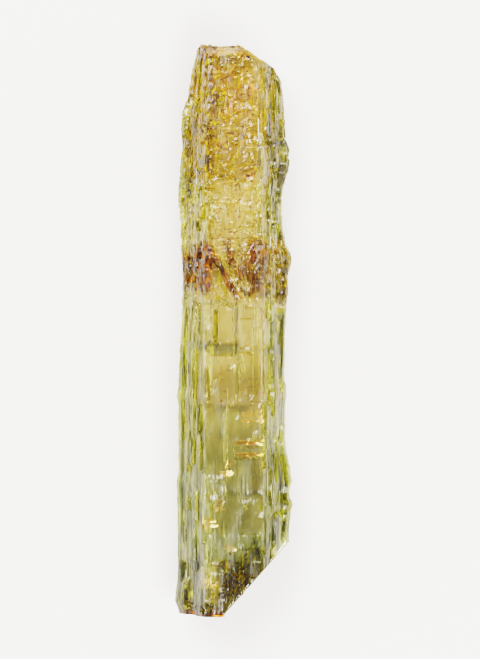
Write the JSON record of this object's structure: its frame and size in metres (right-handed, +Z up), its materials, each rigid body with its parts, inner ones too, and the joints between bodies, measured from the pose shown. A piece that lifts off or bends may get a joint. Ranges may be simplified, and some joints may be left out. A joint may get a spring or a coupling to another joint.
{
  "type": "golden beryl crystal",
  "caption": "Long six-sided crystal of clear golden beryl with etched, ledged prism faces, a broken top and a slanting lower end, lying on its flat back face.",
  "frame": {"origin": "on the surface the crystal lies on, under the middle of its bounding box", "axes": "+Y along the crystal's length, from the slanting lower end to the broken top; +Z up, out of the flat front prism face; +X to the viewer's right in the picture"},
  "size_m": [0.0212, 0.1, 0.018],
  "materials": {
    "golden_beryl": "clear, etched"
  },
  "bodies": {
    "root": {"beryl_crystal": "golden_beryl"}
  },
  "joints": []
}
